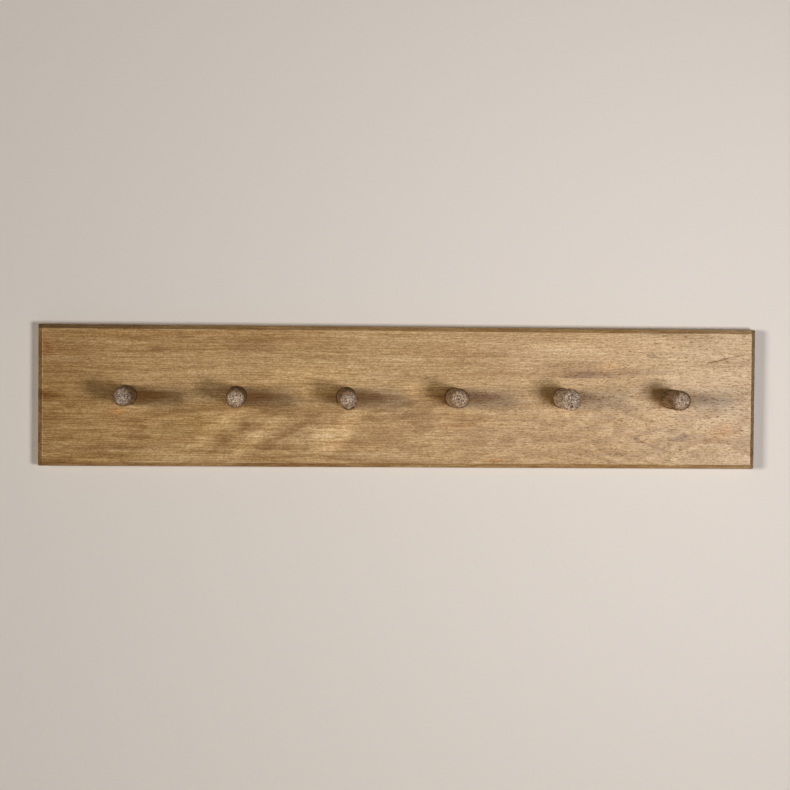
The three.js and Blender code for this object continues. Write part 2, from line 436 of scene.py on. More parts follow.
def middle(points):
    return sum(points, Vector()) / len(points)


def peg_axis(name):
    """The tail's middle, the tip's middle, and the radius of the shank."""
    corners = {tuple(round(c, 6) for c in v.co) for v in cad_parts[name].data.vertices}
    tail = middle([Vector(c) for c in corners if c[1] > -10 * MM])
    tip_points = [Vector(c) for c in corners if c[1] < FACE_Y - PEG_LENGTH_IN_SIGHT + 10 * MM]
    along = (middle(tip_points) - tail).normalized()
    radius = max((p - tail - along * (p - tail).dot(along)).length for p in tip_points)
    reach = max((p - tail).dot(along) for p in tip_points)
    tail_end = min((Vector(c) - tail).dot(along) for c in corners)
    return tail + along * tail_end, tail + along * reach, radius


PEG_AXES = {name: peg_axis(name) for name in PEG_NAMES}
PEG_RADIUS = sum(radius for _, _, radius in PEG_AXES.values()) / len(PEG_AXES)
for name, (tail, tip, radius) in PEG_AXES.items():
    lean = (tip - tail).normalized()
    print(name, "length", round((tip - tail).length / MM, 1), "radius", round(radius / MM, 2),
          "lean", round(math.degrees(math.asin(lean.x)), 2), round(math.degrees(math.asin(-lean.z)), 2))


def peg_turn(name):
    """The rotation that lays the Z axis along a peg, from its tail to its tip."""
    tail, tip, _ = PEG_AXES[name]
    return Vector((0, 0, 1)).rotation_difference(tip - tail).to_matrix()


def peg_places(name):
    """Where a peg's socket opens in the face, and where the head of its screw lies near the back."""
    tail, tip, _ = PEG_AXES[name]
    along = (tip - tail).normalized()
    mouth = tail + along * (SOCKET_DEPTH - GAP)
    return mouth, mouth - along * (-FACE_Y - PEG_SCREW_SINK)

# %% [markdown]
# ## Two ways to start a shape
#
# Most of the small parts are round, so they start on the lathe: half of the outline is drawn one point at
# a time and spun about its axis. The keyhole plates and their recesses are slots with round ends. Such a
# slot is a disc whose upper half has been pulled away from its lower half.

# %% The lathe and the slot


def start_as_point(name):
    """A new piece that is one vertex at the origin, selected in edit mode and ready to be extruded."""
    clear_selection()
    bpy.ops.mesh.primitive_plane_add(size=1 * MM)
    piece = named(name)
    bpy.ops.object.mode_set(mode="EDIT")
    bpy.ops.mesh.select_mode(type="VERT")
    bpy.ops.mesh.select_all(action="SELECT")
    bpy.ops.mesh.merge(type="CENTER")
    return piece


def turn_on_lathe(name, outline, steps=32):
    """Draws half an outline, as pairs of radius and height, and spins it about the Z axis."""
    piece = start_as_point(name)
    points = [Vector((radius, 0, height)) for radius, height in outline]
    bpy.ops.transform.translate(value=points[0])
    for here, there in zip(points, points[1:]):
        bpy.ops.mesh.extrude_region_move(TRANSFORM_OT_translate={"value": there - here})
    bpy.ops.mesh.select_all(action="SELECT")
    bpy.ops.mesh.spin(steps=steps, angle=math.tau, center=(0, 0, 0), axis=(0, 0, 1))
    bpy.ops.object.mode_set(mode="OBJECT")
    faces_out(piece)
    return piece


def slot_block(name, width, reach, near, far, place):
    """An upright slot with round ends, which are centred reach above and below place.

    It runs from near to far in front of the wall.
    """
    clear_selection()
    bpy.ops.mesh.primitive_cylinder_add(
        vertices=64,
        radius=width / 2,
        depth=far - near,
        location=(0, -(near + far) / 2, 0),
        rotation=(math.radians(90), 0, 0),
    )
    piece = named(name)
    for side in (1, -1):
        pick(piece, "VERT", lambda p: p.z * side > NEAR)
        bpy.ops.transform.translate(value=(0, 0, side * reach))
        bpy.ops.object.mode_set(mode="OBJECT")
    drop_in_place(piece, Matrix.Identity(3), place)
    return piece

# %% [markdown]
# ## Countersunk wood screws
#
# A wood screw has a head with a flat top and a coned underside, a plain neck as wide as the thread, then
# a thinner core with the thread standing on it, and a point. The thread is one small triangle swept along
# a helix. A cross is punched in the head with a tapered tool. The head's top is at z = 0 and the point is
# at +Z.

# %% Turn a screw, cut its thread and punch its cross


def sweep_thread(name, core, crest, pitch, start, turns):
    """Draws the thread's triangle beside the axis and sweeps it up a helix."""
    flank = 0.33 * pitch
    root = core - 0.15 * MM
    thread = start_as_point(name)
    bpy.ops.transform.translate(value=(root, 0, start))
    bpy.ops.mesh.extrude_region_move(TRANSFORM_OT_translate={"value": (crest - root, 0, flank)})
    bpy.ops.mesh.extrude_region_move(TRANSFORM_OT_translate={"value": (root - crest, 0, flank)})
    bpy.ops.mesh.select_all(action="SELECT")
    bpy.ops.mesh.edge_face_add()
    bpy.ops.mesh.delete(type="ONLY_FACE")
    bpy.ops.object.mode_set(mode="OBJECT")
    apply_modifier(thread, "SCREW", screw_offset=pitch, iterations=turns, steps=20, render_steps=20)
    hold(thread)
    bpy.ops.object.mode_set(mode="EDIT")
    bpy.ops.mesh.select_all(action="DESELECT")
    bpy.ops.mesh.select_non_manifold()
    bpy.ops.mesh.fill_holes(sides=0)
    bpy.ops.object.mode_set(mode="OBJECT")
    faces_out(thread)
    return thread


def punch_cross(screw, length, width, depth):
    for quarter in (0, 90):
        clear_selection()
        bpy.ops.mesh.primitive_cube_add(size=1, rotation=(0, 0, math.radians(quarter)))
        bpy.ops.transform.resize(value=(length, width, 2 * depth), orient_type="LOCAL")
        arm = named("punch")
        pick(arm, "VERT", lambda p: p.z > 0)
        bpy.ops.transform.resize(value=(0.72, 0.72, 1))
        bpy.ops.object.mode_set(mode="OBJECT")
        cut_away(screw, arm)


def make_screw(name, head, shank, length, head_height, point, cross):
    """Sizes are diameters and lengths in metres. Cross is the recess: its length, width and depth."""
    crest = shank / 2
    core = 0.68 * crest
    pitch = 0.42 * shank
    neck = head_height + 0.22 * length
    outline = [
        (0, 0),
        (head / 2 - 0.15 * MM, 0),
        (head / 2, 0.12 * MM),
        (head / 2, 0.3 * MM),
        (crest + 0.25 * MM, head_height - 0.25 * MM),
        (crest, head_height + 0.1 * MM),
        (crest, neck),
        (core, neck + 0.5 * MM),
        (core, length - point),
        (0.45 * core, length - 0.3 * point),
        (0, length - 0.1 * MM),
    ]
    screw = turn_on_lathe(name, outline)
    turns = int((length - point - neck) / pitch)
    thread = sweep_thread(name + "_thread", core, crest - 0.03 * MM, pitch, neck + 0.2 * MM, turns)
    apply_modifier(screw, "BOOLEAN", operation="UNION", solver="EXACT", object=thread)
    bpy.data.objects.remove(thread)
    punch_cross(screw, *cross)
    faces_out(screw)
    smooth(screw, 32)
    return screw


def copy_of(piece, name):
    """A copy with a mesh of its own."""
    made = piece.copy()
    made.data = piece.data.copy()
    made.name = name
    made.data.name = name
    bpy.context.scene.collection.objects.link(made)
    return made


PEG_SCREW = dict(head=8 * MM, shank=4 * MM, length=30 * MM, head_height=2.6 * MM, point=4 * MM)
PEG_SCREW_CROSS = (4.6 * MM, 1.1 * MM, 1.5 * MM)
HANGER_SCREW = dict(head=7 * MM, shank=3.5 * MM, length=12 * MM, head_height=1.9 * MM, point=3 * MM)
HANGER_SCREW_CROSS = (4 * MM, 1 * MM, 1.2 * MM)
peg_screw_model = make_screw("peg_screw_model", cross=PEG_SCREW_CROSS, **PEG_SCREW)
hanger_screw_model = make_screw("hanger_screw_model", cross=HANGER_SCREW_CROSS, **HANGER_SCREW)
for model in (peg_screw_model, hanger_screw_model):
    print(model.name, "faces", len(model.data.polygons), "mm", [round(d / MM, 2) for d in model.dimensions])

# %% [markdown]
# ## Bore the board
#
# A flat-bottomed bit bores a blind socket for each peg from the front, a little wider than the peg, and
# the screw's clearance hole comes in from the back with a countersink. Each hole is cut along its own
# peg's axis.

# %% Bore the sockets and the screw holes


def screw_hole(name, sizes):
    head = sizes["head"] / 2 + GAP
    shank = sizes["shank"] / 2 + GAP
    outline = [
        (0, -2 * MM),
        (head, -2 * MM),
        (head, 0.4 * MM),
        (shank, sizes["head_height"]),
        (shank, sizes["length"] - sizes["point"]),
        (0, sizes["length"] + GAP),
    ]
    return turn_on_lathe(name, outline)


SOCKET_EASE = 0.25 * MM
socket_radius = PEG_RADIUS + GAP
for name in PEG_NAMES:
    mouth, head_place = peg_places(name)
    drill = turn_on_lathe(
        "drill",
        [
            (0, -SOCKET_DEPTH),
            (socket_radius, -SOCKET_DEPTH),
            (socket_radius, -SOCKET_EASE),
            (socket_radius + SOCKET_EASE, 0),
            (socket_radius + SOCKET_EASE, 2 * MM),
            (0, 2 * MM),
        ],
        steps=64,
    )
    drop_in_place(drill, peg_turn(name), mouth)
    cut_away(board, drill)
    hole = screw_hole("screw_hole", PEG_SCREW)
    drop_in_place(hole, peg_turn(name), head_place)
    cut_away(board, hole)
print("board faces after boring:", len(board.data.polygons))

# %% [markdown]
# ## Let in the keyhole plates
#
# Each plate lies in a shallow recess, so that the board still meets the wall. Behind its keyhole a deeper
# pocket gives the wall screw's head room to slide up. The plate itself is cut from sheet: a slot shape,
# then the keyhole's round entry, its narrow slot, and two countersunk holes.

# %% Cut the recesses and make the plates
PLATE_LENGTH, PLATE_WIDTH, PLATE_THICKNESS = 60 * MM, 20 * MM, 2 * MM
PLATE_SINK = 0.3 * MM
PLATE_REACH = (PLATE_LENGTH - PLATE_WIDTH) / 2
KEYHOLE_ENTRY, KEYHOLE_SLOT, KEYHOLE_TRAVEL = 10 * MM, 5 * MM, 12 * MM
POCKET_WIDTH, POCKET_DEPTH = 13 * MM, 8 * MM
HANGER_SCREW_SPACING = 46 * MM
HANGER_SCREW_SINK = 0.1 * MM
HANGER_SCREW_TURNS = {"upper": 20, "lower": 65}
PLATE_ARRIS = 0.2 * MM
OVERRUN = 1 * MM
INTO_BOARD = Vector((0, 0, 1)).rotation_difference(Vector((0, -1, 0))).to_matrix()


def hanger_screw_places(centre):
    depth = -PLATE_SINK - HANGER_SCREW_SINK
    for word, side in (("upper", 1), ("lower", -1)):
        yield word, centre + Vector((0, depth, side * HANGER_SCREW_SPACING / 2))


plates = {}
hanger_screws = {}
for side_word in ("left", "right"):
    low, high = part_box(side_word + "_hanger_plate")
    centre = Vector(((low.x + high.x) / 2, 0, (low.z + high.z) / 2))
    back_of_plate = PLATE_SINK + PLATE_THICKNESS
    recess_floor = back_of_plate + GAP
    cut_away(board, slot_block("recess", PLATE_WIDTH + 2 * GAP, PLATE_REACH, -OVERRUN, recess_floor, centre))
    pocket_floor = back_of_plate + POCKET_DEPTH
    cut_away(board, slot_block("pocket", POCKET_WIDTH, KEYHOLE_TRAVEL / 2, -OVERRUN, pocket_floor, centre))

    plate = slot_block(side_word + "_plate", PLATE_WIDTH, PLATE_REACH, PLATE_SINK, back_of_plate, centre)
    through = (-OVERRUN, back_of_plate + OVERRUN)
    entry_place = centre - Vector((0, 0, KEYHOLE_TRAVEL / 2))
    cut_away(plate, slot_block("entry", KEYHOLE_ENTRY, 0, *through, entry_place))
    cut_away(plate, slot_block("slot", KEYHOLE_SLOT, KEYHOLE_TRAVEL / 2, *through, centre))
    for word, place in hanger_screw_places(centre):
        for target in (board, plate):
            hole = screw_hole("hole", HANGER_SCREW)
            drop_in_place(hole, INTO_BOARD, place)
            cut_away(target, hole)
        screw = copy_of(hanger_screw_model, f"{side_word}_{word}_screw")
        own_turn = Matrix.Rotation(math.radians(HANGER_SCREW_TURNS[word]), 3, "Z")
        drop_in_place(screw, INTO_BOARD @ own_turn, place)
        hanger_screws[f"{side_word}_hanger_{word}_screw"] = screw
    faces_out(plate)
    ease_arrises(plate, PLATE_ARRIS, 2, 40)
    smooth_with_flats(plate)
    plates[side_word + "_hanger_plate"] = plate
    print(plate.name, "faces", len(plate.data.polygons), "centre, mm", [round(c / MM, 1) for c in centre])
bpy.data.objects.remove(hanger_screw_model)

faces_out(board)
smooth_with_flats(board)
print("board faces when done:", len(board.data.polygons))

# %% [markdown]
# ## The pegs
#
# A peg is turned from square stock and rounded over at the tip by hand, so no two match. It starts as a
# clean turning. Then each ring of its shank is nudged a little out of round, and a soft lumpy
# displacement takes away the last of the machine look. The tail inside its socket is left true, because
# it has to fit.

# %% Turn the pegs
TAIL_BEVEL = 1 * MM
TIP_ROUND = 4.2 * MM
TIP_CROWN = 1.2 * MM
TIP_ALLOWANCE = 0.35 * MM
SHANK_STEP = 2.5 * MM
ROUNDING_STEPS = 7
RING_NUDGE = 0.006
FIRST_SEED = 11

LUMPS = bpy.data.textures.new("lumps", "CLOUDS")
LUMPS.noise_scale = 7 * MM
LUMPS.noise_depth = 2


def peg_outline(length, radius):
    points = [(0, 0), (radius - TAIL_BEVEL, 0), (radius, TAIL_BEVEL)]
    shoulder = length - TIP_CROWN - TIP_ROUND
    count = int((shoulder - TAIL_BEVEL) / SHANK_STEP)
    for step in range(1, count):
        points.append((radius, TAIL_BEVEL + step * (shoulder - TAIL_BEVEL) / count))
    for step in range(ROUNDING_STEPS + 1):
        angle = step / ROUNDING_STEPS * math.pi / 2
        points.append((radius - TIP_ROUND * (1 - math.cos(angle)), shoulder + TIP_ROUND * math.sin(angle)))
    flat = radius - TIP_ROUND
    for share in (0.8, 0.6, 0.4, 0.2):
        points.append((flat * share, length - TIP_CROWN * share**2))
    points.append((0, length))
    return points


def nudge_rings(peg, length, chance):
    """Squeezes each ring above the socket a little, one way or the other."""
    in_sight = [v.co.z for v in peg.data.vertices if SOCKET_DEPTH + MM < v.co.z < length - 2 * MM]
    drift = [0.0, 0.0]
    for height in sorted({round(z, 7) for z in in_sight}):
        drift = [0.8 * d + chance.gauss(0, RING_NUDGE) for d in drift]
        pick(peg, "VERT", lambda p: abs(p.z - height) < NEAR)
        bpy.ops.transform.resize(value=(1 - abs(drift[0]), 1 - abs(drift[1]), 1))
        bpy.ops.object.mode_set(mode="OBJECT")


def make_peg(name, seed, lumps, swell):
    tail, tip, radius = PEG_AXES[name]
    length = (tip - tail).length - TIP_ALLOWANCE
    chance = random.Random(seed)
    peg = turn_on_lathe(name + "_turned", peg_outline(length, radius), steps=48)
    nudge_rings(peg, length, chance)
    free = peg.vertex_groups.new(name="in_sight")
    for vertex in peg.data.vertices:
        reach = (vertex.co.z - SOCKET_DEPTH - MM) / (4 * MM)
        near_tip = (length - vertex.co.z) / (2 * MM)
        weight = max(0.0, min(1.0, reach, 0.35 + near_tip))
        free.add([vertex.index], weight, "REPLACE")
    drop_in_place(peg, peg_turn(name) @ Matrix.Rotation(chance.uniform(0, math.tau), 3, "Z"), tail)
    apply_modifier(
        peg,
        "DISPLACE",
        texture=LUMPS,
        texture_coords="LOCAL",
        vertex_group="in_sight",
        strength=lumps,
        mid_level=swell,
    )
    faces_out(peg)
    return peg


# Lumpiness in metres, and the share of each lump that is cut in rather than left standing.
PEG_LUMPS = [
    (1.4 * MM, 0.50),
    (1.2 * MM, 0.55),
    (1.4 * MM, 0.52),
    (1.6 * MM, 0.52),
    (2.4 * MM, 0.36),
    (1.4 * MM, 0.50),
]
pegs = {}
for index, (name, (lumps, swell)) in enumerate(zip(PEG_NAMES, PEG_LUMPS)):
    pegs[name] = make_peg(name, FIRST_SEED + index, lumps, swell)
print("pegs turned:", ", ".join(pegs))

# %% [markdown]
# The fifth peg has a bite out of the lower edge of its tip, where a knot fell out on the lathe. A small
# ball pressed into the rim cuts it.

# %% Bite the fifth peg and smooth them all
BITE_RADIUS = 2.3 * MM
bitten = PEG_NAMES[4]
_, tip, radius = PEG_AXES[bitten]
bite_place = tip + Vector((0.4 * MM, 2.0 * MM, -radius + 0.9 * MM))
clear_selection()
bpy.ops.mesh.primitive_ico_sphere_add(subdivisions=3, radius=BITE_RADIUS, location=bite_place)
cut_away(pegs[bitten], named("bite"))
for name, peg in pegs.items():
    faces_out(peg)
    smooth(peg, 45)
    low = min(v.co.y for v in peg.data.vertices)
    print(name, "faces", len(peg.data.polygons), "reaches y, mm", round(low / MM, 2))

# %% [markdown]
# Last come the screws behind the pegs. They are copies of one model, each turned to its own angle in its
# hole. Because each lies on its peg's axis, it enters the peg's tail square. The peg is drilled for it, a
# little wider than the screw.

# %% Drive the peg screws
PEG_SCREW_TURN = 37
peg_screws = {}
for index, name in enumerate(PEG_NAMES):
    _, head_place = peg_places(name)
    screw_name = name.replace("peg", "peg_screw")
    screw = copy_of(peg_screw_model, screw_name + "_driven")
    own_turn = Matrix.Rotation(math.radians(PEG_SCREW_TURN * index), 3, "Z")
    drop_in_place(screw, peg_turn(name) @ own_turn, head_place)
    peg_screws[screw_name] = screw
    pilot = screw_hole("pilot", PEG_SCREW)
    drop_in_place(pilot, peg_turn(name), head_place)
    cut_away(pegs[name], pilot)
bpy.data.objects.remove(peg_screw_model)
print("screws:", len(peg_screws) + len(hanger_screws))

# %% [markdown]
# ## Oiled oak for the board
#
# A board cut near the outside of a tree shows two things at once. The yearly rings meet the face as long
# lines that close into pointed arches where they run flat. The wood's own fibres and pores run straight
# along the board as fine streaks and short dark dashes. Here the rings are the distance from a pith line
# that would lie behind the board, bent a little by slow noise. The streaks are noise stretched along X.
# Oil has made the whole face golden, and darker wherever the wood drinks more: on the routed chamfers and
# on the end grain. A painted shadow darkens the wood to the right of each peg.

# %% Find the places on the board that take a different tone
ANY_DEPTH = 1000


def inside(recipe, place, middle_mm, size_mm, turn=0, soft=0.5):
    """1 inside an ellipse on the board's face and 0 outside it, with a soft edge.

    Millimetres from the board's centre, and degrees that the ellipse is turned, rising to the right.
    """
    ellipse = recipe.node("ShaderNodeMapping", vector_type="TEXTURE")
    recipe.feed(ellipse.inputs["Vector"], place)
    ellipse.inputs["Location"].default_value = (middle_mm[0] * MM, 0, middle_mm[1] * MM)
    ellipse.inputs["Rotation"].default_value = (0, math.radians(-turn), 0)
    ellipse.inputs["Scale"].default_value = (size_mm[0] * MM, ANY_DEPTH, size_mm[1] * MM)
    return recipe.between(recipe.vector("LENGTH", ellipse.outputs[0]), 1.0 + soft, 1.0 - soft)


def tint(recipe, color, amount, shade):
    """Multiplies a colour by a shade, as far as amount says."""
    return recipe.mix(amount, color, shade, blend="MULTIPLY")


def scaled(recipe, amount, factor):
    return recipe.sum("MULTIPLY", amount, factor)


# %% Oil the board
PITH_BEHIND = 34 * MM
PITH_HEIGHT = -26 * MM
RING_WIDTH = 9 * MM

oak = Recipe("oiled_oak")
here = oak.place()
x, y, z = oak.split(here)
sway = oak.noise(oak.place((0.13, 0, 0.07), (3.2, 6, 7)), detail=2)
wave = oak.noise(oak.place((0.31, 0, 0.22), (11, 26, 30)), detail=3)
ripple = oak.noise(oak.place((0.11, 0, 0.52), (34, 90, 120)), detail=2)
behind = oak.sum("ADD", y, PITH_BEHIND + BOARD_SIZE.y)
above = oak.sum("SUBTRACT", z, PITH_HEIGHT)
distance = oak.vector("LENGTH", oak.join(0.0, behind, above))
low_down = oak.between(z, 18 * MM, -24 * MM)
for value, reach in ((sway, 0.050), (oak.sum("MULTIPLY", wave, low_down), 0.045), (ripple, 0.0012)):
    distance = oak.sum("MULTIPLY_ADD", value, reach, distance)
distance = oak.sum("MULTIPLY_ADD", x, 0.012, distance)
ring = oak.sum("FRACT", oak.sum("DIVIDE", distance, RING_WIDTH))
late = oak.sum("MULTIPLY", oak.between(ring, 0.15, 0.85), oak.between(ring, 1.0, 0.87))
early = oak.sum("SUBTRACT", 1.0, oak.between(ring, 0.05, 0.45))

# The fibres follow the rings a little, so their rows rise and fall with the same slow noise.
lift = oak.sum("MULTIPLY_ADD", wave, 0.004, oak.sum("MULTIPLY_ADD", sway, 0.014, z))
grain = oak.join(x, y, lift)


def stretched_grain(shift, stretch):
    return oak.vector("MULTIPLY", oak.vector("ADD", grain, shift), stretch)


def streaks(shift, stretch, detail=2.0):
    return oak.noise(stretched_grain(shift, stretch), detail=detail)


broad = streaks((0.2, 0, 0.4), (9, 60, 75), 1.5)
fibre = streaks((0.7, 0, 0.1), (15, 400, 900), 0)
fine = streaks((0.4, 0, 0.9), (90, 500, 1100), 0)
thread = streaks((0.8, 0, 0.3), (500, 700, 1000), 0)
pore = oak.between(oak.cells(stretched_grain((0, 0, 0), (150, 700, 900))), 0.34, 0.14)
fleck = oak.between(oak.cells(stretched_grain((0.3, 0, 0.8), (60, 200, 210))), 0.22, 0.10)
tone = oak.noise(oak.place((0.9, 0, 0.3), (8, 15, 26)), detail=3)

golden = oak.mix(oak.between(tone, 0.34, 0.68), (0.450, 0.288, 0.128), (0.500, 0.335, 0.165))
# The ends are tinted as painted sheen: darker and warmer at the left, paler and cooler at the right, where
# the near lamp's shine falls.
golden = tint(oak, golden, oak.between(x, -0.25, -0.38), (0.92, 0.90, 0.82))
golden = tint(oak, golden, oak.between(x, 0.20, 0.37), (1.05, 1.12, 1.36))
rings_show = oak.sum("MULTIPLY_ADD", low_down, 0.55, 0.30)
color = tint(oak, golden, oak.sum("MULTIPLY", late, rings_show), (0.78, 0.72, 0.62))
color = tint(oak, color, oak.between(broad, 0.55, 0.72), (0.87, 0.82, 0.73))
color = oak.mix(scaled(oak, oak.between(broad, 0.46, 0.30), 0.40), color, (0.560, 0.405, 0.225))
for pattern, spread, dark, pale in (
    (fibre, 0.25, (0.87, 0.83, 0.75), (1.12, 1.15, 1.23)),
    (fine, 0.25, (0.88, 0.85, 0.78), (1.10, 1.13, 1.19)),
    (thread, 0.22, (0.87, 0.84, 0.77), (1.12, 1.15, 1.22)),
):
    color = tint(oak, color, 1.0, oak.mix(oak.between(pattern, 0.5 - spread, 0.5 + spread), dark, pale))
in_early = oak.sum("MULTIPLY_ADD", early, 0.18, 0.10)
color = tint(oak, color, oak.sum("MULTIPLY", pore, in_early), (0.62, 0.54, 0.45))
color = tint(oak, color, scaled(oak, fleck, 0.12), (1.22, 1.20, 1.16))
print("oak nodes for the grain:", len(oak.tree.nodes))

# %% [markdown]
# Every board has marks of its own: a knot's shadow, mineral streaks, pale sweeps where the rings run
# flat, a fine check from drying. These are put in one by one. Two pale patches left of the third and
# fourth pegs are no marks of the wood but painted light, which lifts the pegs' shadows there. Each mark
# is a soft ellipse in a place bent by noise, so that no edge is regular.

# %% Add the board's own marks
BEND = Vector((50 * MM, 0, 22 * MM))
bent = oak.vector("ADD", here, oak.vector("MULTIPLY", oak.join(wave, 0.0, broad), BEND))
bent = oak.vector("ADD", bent, -BEND / 2)
# Centre, half size, turn and shade of each mark, with how strongly it shows.
MARKS = [
    ((-158, 52), (26, 9), 0, (0.74, 0.68, 0.62), 0.7),
    ((-90, 22), (48, 9), 0, (1.14, 1.15, 1.14), 0.7),
    ((-68, -40), (27, 15), 32, (1.26, 1.31, 1.40), 1.0),
    ((-52, -48), (7, 4), 20, (0.84, 0.80, 0.74), 0.8),
    ((-24, -48), (9, 3), -10, (1.14, 1.15, 1.14), 0.8),
    ((-190, -37), (40, 5), 35, (1.22, 1.28, 1.38), 1.0),
    ((-150, -43), (34, 5), 38, (1.22, 1.28, 1.36), 1.0),
    ((-171, -40), (36, 3.2), 37, (0.82, 0.77, 0.68), 1.0),
    ((-116, -36), (40, 4.5), 33, (0.80, 0.75, 0.66), 1.0),
    ((-200, -28), (34, 12), 0, (1.00, 1.01, 0.94), 0.8),
    ((-287, -17), (6, 3), 0, (1.12, 0.96, 0.78), 0.8),
    ((-290, -56), (30, 3.5), 0, (0.72, 0.65, 0.56), 0.8),
    ((-360, 48), (8, 9), 0, (0.92, 0.76, 0.64), 0.8),
    ((-345, 46), (34, 28), 0, (0.86, 0.82, 0.77), 0.9),
    ((-8, -30), (30, 14), 15, (0.88, 0.84, 0.78), 0.9),
    ((-30, -18), (22, 3), 30, (0.84, 0.79, 0.70), 0.9),
    ((60, 46), (70, 6), 0, (0.88, 0.83, 0.75), 0.8),
    ((150, 52), (60, 5), -2, (1.10, 1.12, 1.16), 0.8),
    ((118, -40), (48, 14), 0, (0.93, 0.89, 0.89), 0.9),
    ((-104, -42), (40, 20), 0, (1.10, 1.16, 1.30), 0.9),
    ((118, 42), (48, 22), 0, (1.05, 1.07, 1.15), 0.9),
    # The next two pale patches, left of the third and fourth pegs, are painted light that lifts the pegs'
    # shadows there.
    ((-84, 5), (22, 7), 0, (1.18, 1.17, 1.09), 0.9),
    ((28, 5), (22, 7), 0, (1.20, 1.18, 1.12), 0.9),
    ((300, 8), (50, 14), 0, (1.04, 1.05, 1.10), 0.9),
    ((24, -12), (30, 3), 18, (0.84, 0.79, 0.72), 0.8),
    ((66, -26), (20, 2.5), 0, (0.96, 0.80, 0.68), 0.7),
    ((97, -66), (10, 2), 0, (1.02, 0.82, 0.66), 0.7),
    ((202, 28), (56, 8), -3, (0.76, 0.68, 0.58), 0.9),
    ((190, 25), (26, 3.2), 0, (0.68, 0.59, 0.49), 0.9),
    ((216, 34), (10, 2.5), 12, (1.26, 1.26, 1.22), 0.9),
    ((274, 45), (11, 1.8), -8, (0.70, 0.62, 0.54), 0.8),
    ((256, -35), (18, 1.6), 24, (0.74, 0.66, 0.58), 1.0),
    ((256, -47), (18, 1.6), -24, (0.74, 0.66, 0.58), 1.0),
    ((294, -39), (9, 3.5), 0, (0.68, 0.60, 0.52), 0.9),
    ((332, -34), (13, 8), 20, (1.00, 0.86, 0.72), 0.7),
    ((-222, 63), (6, 1.6), 0, (0.62, 0.56, 0.50), 0.8),
    ((-252, 50), (9, 1.6), 0, (0.66, 0.60, 0.54), 0.8),
]
for place_mm, size_mm, turn, shade, strength in MARKS:
    color = tint(oak, color, scaled(oak, inside(oak, bent, place_mm, size_mm, turn), strength), shade)

# A thin drying check rises to the right near the top corner, along a line that noise has made to waver.
CHECK_RISE = 0.24
CHECK_DROP = 29.5 * MM
check_line = oak.sum("MULTIPLY_ADD", x, -CHECK_RISE, z)
check_line = oak.sum("MULTIPLY_ADD", wave, 0.014, oak.sum("MULTIPLY_ADD", fine, 0.003, check_line))
off_line = oak.sum("ABSOLUTE", oak.sum("ADD", check_line, CHECK_DROP))
check_reach = inside(oak, here, (341, 41), (22, 9), soft=0.3)
check = oak.sum("MULTIPLY", oak.between(off_line, 0.9 * MM, 0.2 * MM), check_reach)
color = tint(oak, color, scaled(oak, check, 0.6), (0.42, 0.34, 0.28))
print("marks on the board:", len(MARKS))

# %% [markdown]
# The oil is uneven in ways that depend on the shape. A painted shadow darkens the wood to the right of
# each peg, in a wedge that narrows away from it. The oil darkens the chamfers, most of all at the ends,
# and the top chamfer towards the left is darkened further as painted shade. A paler line just inside the
# front arris is partly wear and partly a painted highlight. The back and the insides of the holes never
# got any oil, so they are still pale.

# %% Shade the board by its shape
FIRST_PEG_X = PEG_AXES[PEG_NAMES[0]][0].x
PITCH = (PEG_AXES[PEG_NAMES[-1]][0].x - FIRST_PEG_X) / (len(PEG_NAMES) - 1)
from_peg = oak.sum("WRAP", oak.sum("SUBTRACT", x, FIRST_PEG_X), PITCH / 2, -PITCH / 2)
# A painted shadow to the right of each peg: a brown wedge that starts beside the peg and narrows away from
# it.
shadow_taper = oak.sum("MULTIPLY_ADD", oak.sum("MAXIMUM", from_peg, 0.0), 1 / (40 * MM), 1.0)
shadow_along = scaled(oak, oak.sum("SUBTRACT", from_peg, 19 * MM), 0.30)
peg_shadow_place = oak.join(shadow_along, 0.0, oak.sum("MULTIPLY", z, shadow_taper))
to_peg_shadow = oak.sum("MULTIPLY_ADD", oak.sum("SUBTRACT", wave, 0.5), 0.008, oak.vector("LENGTH", peg_shadow_place))
color = tint(oak, color, oak.between(to_peg_shadow, 14 * MM, 3 * MM), (0.60, 0.45, 0.19))

to_end = oak.sum("SUBTRACT", HALF_LENGTH, oak.sum("ABSOLUTE", x))
to_side = oak.sum("SUBTRACT", HALF_HEIGHT, oak.sum("ABSOLUTE", z))
to_edge = oak.sum("MINIMUM", to_end, to_side)
chamfer = oak.between(to_edge, CHAMFER + 0.2 * MM, CHAMFER - 0.2 * MM)
side_chamfer = oak.between(to_side, CHAMFER + 0.2 * MM, CHAMFER)
shaded_top_chamfer = oak.sum("MULTIPLY", oak.between(z, 0, 10 * MM), side_chamfer)
end_grain = oak.between(to_end, CHAMFER + 0.2 * MM, CHAMFER - 0.2 * MM)
end_dots = oak.between(oak.noise(oak.place((0.2, 0, 0.6), (300, 900, 900)), detail=2), 0.45, 0.62)
color = tint(oak, color, chamfer, (0.88, 0.85, 0.80))
# Painted shade: the top chamfer is darkened towards the left end.
color = tint(oak, color, oak.sum("MULTIPLY", shaded_top_chamfer, oak.between(x, -0.10, -0.34)), (0.62, 0.60, 0.58))
color = tint(oak, color, end_grain, (0.82, 0.80, 0.77))
color = tint(oak, color, oak.sum("MULTIPLY", end_grain, end_dots), (0.68, 0.62, 0.55))
# A paler broken line just inside the front arris: partly rubbed wear, partly a painted highlight where the
# edge catches the light.
from_arris = oak.sum("ABSOLUTE", oak.sum("SUBTRACT", to_edge, CHAMFER + 0.3 * MM))
patches = oak.between(streaks((0.5, 0, 0.5), (30, 200, 200)), 0.42, 0.60)
wear_and_highlight = oak.sum("MULTIPLY", oak.between(from_arris, 0.9 * MM, 0.2 * MM), patches)
color = oak.mix(scaled(oak, wear_and_highlight, 0.45), color, (0.56, 0.42, 0.27))

